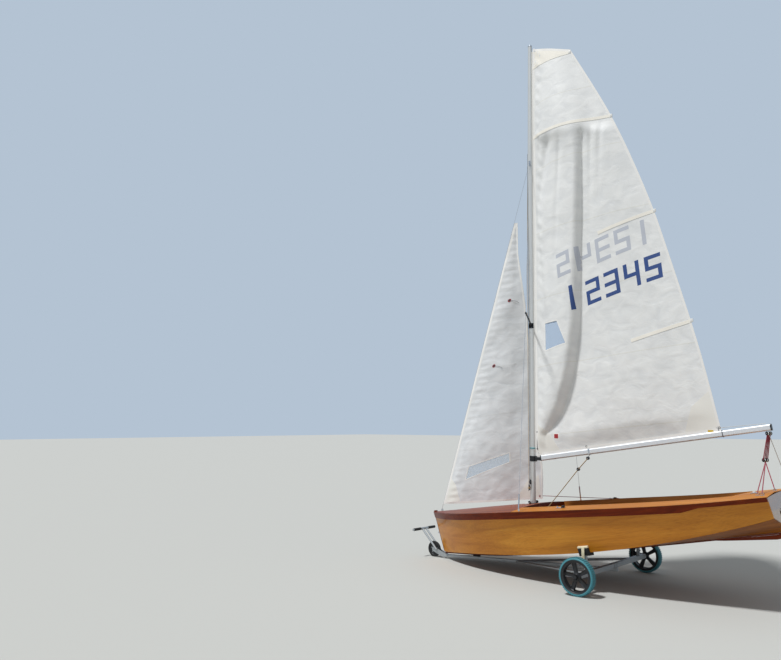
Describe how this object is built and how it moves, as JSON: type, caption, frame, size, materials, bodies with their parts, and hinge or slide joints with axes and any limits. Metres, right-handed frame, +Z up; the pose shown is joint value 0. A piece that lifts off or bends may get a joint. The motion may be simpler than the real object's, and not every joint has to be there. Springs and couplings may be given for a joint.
{
  "type": "two-sail sailing dinghy on a launching trolley",
  "caption": "Plywood two-sail sailing dinghy, rigged with its sails up, standing bow down on a two-wheeled launching trolley.",
  "frame": {"origin": "on the floor, under the middle of the whole's footprint", "axes": "+X towards the bow, +Y to port, +Z up from the floor that the wheels stand on"},
  "size_m": [4.3224, 1.6686, 6.2181],
  "materials": {
    "varnished_ply": "gloss varnish",
    "varnished_deck": "gloss varnish",
    "hardwood": "gloss varnish",
    "inner_ply": "satin varnish",
    "bottom_ply": "gloss varnish",
    "black_plastic": "matte",
    "stainless_steel": "brushed",
    "mast_aluminium": "anodised",
    "sailcloth": "woven, stiff",
    "galvanised_steel": "galvanised, dull",
    "pad_rubber": "matte",
    "teal_rubber": "matte"
  },
  "bodies": {
    "hull_and_trolley": {"topside_port": "varnished_ply", "topside_starboard": "varnished_ply", "transom": "varnished_ply", "foredeck": "varnished_deck", "side_deck_port": "varnished_deck", "side_deck_starboard": "varnished_deck", "aft_deck": "varnished_deck", "rubbing_strake_port": "hardwood", "rubbing_strake_starboard": "hardwood", "stem": "hardwood", "keel_strip": "hardwood", "skeg": "hardwood", "deck_beam": "hardwood", "mast_step": "hardwood", "thwart": "hardwood", "centreboard_case": "hardwood", "centreboard": "hardwood", "floor_slats": "hardwood", "forward_bulkhead": "inner_ply", "stern_bulkhead": "inner_ply", "side_tank_port": "inner_ply", "side_tank_starboard": "inner_ply", "bottom_port": "bottom_ply", "bottom_starboard": "bottom_ply", "mast_collar": "black_plastic", "gooseneck": "black_plastic", "drain_flaps": "black_plastic", "axle_caps": "black_plastic", "gudgeons": "stainless_steel", "bow_eye": "stainless_steel", "hounds": "stainless_steel", "shroud_port": "stainless_steel", "shroud_starboard": "stainless_steel", "shroud_adjusters": "stainless_steel", "shroud_plates": "stainless_steel", "stay_plate": "stainless_steel", "forestay": "stainless_steel", "mast_cap": "stainless_steel", "centreboard_pin": "stainless_steel", "mast": "mast_aluminium", "spreaders": "mast_aluminium", "jib": "sailcloth", "axle": "galvanised_steel", "cradle_posts": "galvanised_steel", "drawbar": "galvanised_steel", "brace_port": "galvanised_steel", "brace_starboard": "galvanised_steel", "jockey_fork": "galvanised_steel", "tow_handle": "galvanised_steel", "cradle_pads": "pad_rubber", "bow_chock": "pad_rubber"},
    "boom_and_mainsail": {"boom_jaw": "black_plastic", "boom": "mast_aluminium", "boom_end": "black_plastic", "mainsail": "sailcloth"},
    "port_wheel": {"wheel_port": "black_plastic", "tyre_port": "teal_rubber"},
    "starboard_wheel": {"wheel_starboard": "black_plastic", "tyre_starboard": "teal_rubber"},
    "jockey": {"jockey_wheel": "pad_rubber"}
  },
  "joints": [
    {"name": "boom_swing", "type": "hinge", "parent": "hull_and_trolley", "child": "boom_and_mainsail", "pos_m": [0.48579, 0, 1.24911], "axis": [-0.017, 0, 0.9999], "range_deg": [-50, 55]},
    {"name": "port_wheel_spin", "type": "hinge", "parent": "hull_and_trolley", "child": "port_wheel", "pos_m": [-0.40526, 0.788, 0.183], "axis": [0, 1, 0], "continuous": true},
    {"name": "starboard_wheel_spin", "type": "hinge", "parent": "hull_and_trolley", "child": "starboard_wheel", "pos_m": [-0.40526, -0.788, 0.183], "axis": [0, 1, 0], "continuous": true},
    {"name": "jockey_wheel_spin", "type": "hinge", "parent": "hull_and_trolley", "child": "jockey", "pos_m": [1.97774, 0, 0.095], "axis": [0, 1, 0], "continuous": true}
  ]
}
